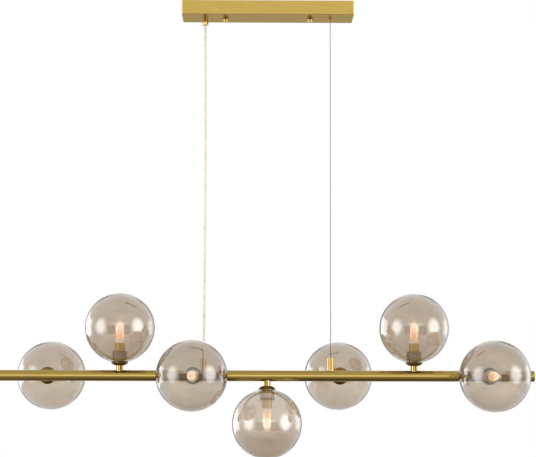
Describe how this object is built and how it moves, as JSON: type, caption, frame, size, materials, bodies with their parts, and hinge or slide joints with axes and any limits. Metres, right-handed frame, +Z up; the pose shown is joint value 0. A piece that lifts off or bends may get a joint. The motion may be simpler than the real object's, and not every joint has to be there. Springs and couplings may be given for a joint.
{
  "type": "cluster pendant",
  "caption": "Linear pendant light: a round brass bar carries smoked glass globes set behind, above, before and below it in turn, hung from a flat brass canopy by a clear cord and a steel wire.",
  "frame": {"origin": "middle of the face that meets the ceiling", "axes": "+Z up, +X along the bar to the wire's side, -Y to the front"},
  "size_m": [1.072, 0.331, 0.9215],
  "materials": {
    "satin_brass_canopy": "brushed",
    "zinc_steel": "zinc plated",
    "polished_brass": "polished",
    "white_plastic": "moulded",
    "core_insulation": "extruded",
    "steel_wire": "stranded",
    "clear_cord": "clear",
    "brushed_brass_bar": "brushed",
    "spun_brass_dish": "spun",
    "nickel": "nickel plated",
    "gold_sleeve": "satin",
    "silicone": "moulded",
    "ceramic": "glazed ceramic",
    "smoked_glass": "smoked",
    "bulb_glass": "clear"
  },
  "bodies": {
    "canopy": {"canopy_cover": "satin_brass_canopy", "ceiling_bracket": "zinc_steel", "bracket_studs": "zinc_steel", "stud_lock_nuts": "zinc_steel", "knurled_cap_nuts": "polished_brass", "terminal_block": "white_plastic", "earth_screw": "zinc_steel", "canopy_leads": "core_insulation", "gland_body": "polished_brass", "gland_cap": "polished_brass", "gland_lock_nut": "zinc_steel", "wire_gripper": "polished_brass", "gripper_lock_nut": "zinc_steel", "steel_wire": "steel_wire", "power_cord": "clear_cord"},
    "plunger": {"gripper_plunger": "polished_brass"},
    "bar": {"bar_tube": "brushed_brass_bar", "end_cap_left": "brushed_brass_bar", "end_cap_right": "brushed_brass_bar", "cord_barrel_base": "polished_brass", "cord_barrel_cap": "polished_brass", "cord_clamp": "white_plastic", "wire_barrel_base": "polished_brass", "wire_barrel_cap": "polished_brass", "wire_ferrule": "zinc_steel", "barrel_bosses": "zinc_steel", "bar_wiring": "core_insulation", "lamp_leads": "core_insulation", "tube_bosses": "zinc_steel", "stem_sleeves": "polished_brass", "hollow_nipples": "zinc_steel", "globe_dishes": "spun_brass_dish", "threaded_shells": "nickel", "holder_sleeves": "gold_sleeve", "nipple_nuts": "zinc_steel", "silicone_washers": "silicone", "lampholders": "ceramic"},
    "globe_body_1": {"globe_1": "smoked_glass"},
    "bulb_body_1": {"bulb_glass_1": "bulb_glass", "bulb_base_1": "ceramic"},
    "globe_body_2": {"globe_2": "smoked_glass"},
    "bulb_body_2": {"bulb_glass_2": "bulb_glass", "bulb_base_2": "ceramic"},
    "globe_body_3": {"globe_3": "smoked_glass"},
    "bulb_body_3": {"bulb_glass_3": "bulb_glass", "bulb_base_3": "ceramic"},
    "globe_body_4": {"globe_4": "smoked_glass"},
    "bulb_body_4": {"bulb_glass_4": "bulb_glass", "bulb_base_4": "ceramic"},
    "globe_body_5": {"globe_5": "smoked_glass"},
    "bulb_body_5": {"bulb_glass_5": "bulb_glass", "bulb_base_5": "ceramic"},
    "globe_body_6": {"globe_6": "smoked_glass"},
    "bulb_body_6": {"bulb_glass_6": "bulb_glass", "bulb_base_6": "ceramic"},
    "globe_body_7": {"globe_7": "smoked_glass"},
    "bulb_body_7": {"bulb_glass_7": "bulb_glass", "bulb_base_7": "ceramic"}
  },
  "joints": [
    {"name": "height_slide", "type": "slide", "parent": "canopy", "child": "bar", "axis": [0, 0, 1], "range_m": [0, 0.35], "deforming": ["steel_wire", "power_cord"]},
    {"name": "plunger_press", "type": "slide", "parent": "canopy", "child": "plunger", "axis": [0, 0, 1], "range_m": [0, 0.0018], "stiffness_N_per_m": 400, "springref_m": -0.002},
    {"name": "globe_1_unscrew", "type": "slide", "parent": "bar", "child": "globe_body_1", "axis": [0, 1, 0], "range_m": [0, 0.11]},
    {"name": "bulb_1_pull", "type": "slide", "parent": "bar", "child": "bulb_body_1", "axis": [0, 1, 0], "range_m": [0, 0.022]},
    {"name": "globe_2_unscrew", "type": "slide", "parent": "bar", "child": "globe_body_2", "axis": [0, 0, 1], "range_m": [0, 0.11]},
    {"name": "bulb_2_pull", "type": "slide", "parent": "bar", "child": "bulb_body_2", "axis": [0, 0, 1], "range_m": [0, 0.022]},
    {"name": "globe_3_unscrew", "type": "slide", "parent": "bar", "child": "globe_body_3", "axis": [0, -1, 0], "range_m": [0, 0.11]},
    {"name": "bulb_3_pull", "type": "slide", "parent": "bar", "child": "bulb_body_3", "axis": [0, -1, 0], "range_m": [0, 0.022]},
    {"name": "globe_4_unscrew", "type": "slide", "parent": "bar", "child": "globe_body_4", "axis": [0, 0, -1], "range_m": [0, 0.11]},
    {"name": "bulb_4_pull", "type": "slide", "parent": "bar", "child": "bulb_body_4", "axis": [0, 0, -1], "range_m": [0, 0.022]},
    {"name": "globe_5_unscrew", "type": "slide", "parent": "bar", "child": "globe_body_5", "axis": [0, 1, 0], "range_m": [0, 0.11]},
    {"name": "bulb_5_pull", "type": "slide", "parent": "bar", "child": "bulb_body_5", "axis": [0, 1, 0], "range_m": [0, 0.022]},
    {"name": "globe_6_unscrew", "type": "slide", "parent": "bar", "child": "globe_body_6", "axis": [0, 0, 1], "range_m": [0, 0.11]},
    {"name": "bulb_6_pull", "type": "slide", "parent": "bar", "child": "bulb_body_6", "axis": [0, 0, 1], "range_m": [0, 0.022]},
    {"name": "globe_7_unscrew", "type": "slide", "parent": "bar", "child": "globe_body_7", "axis": [0, -1, 0], "range_m": [0, 0.11]},
    {"name": "bulb_7_pull", "type": "slide", "parent": "bar", "child": "bulb_body_7", "axis": [0, -1, 0], "range_m": [0, 0.022]}
  ]
}
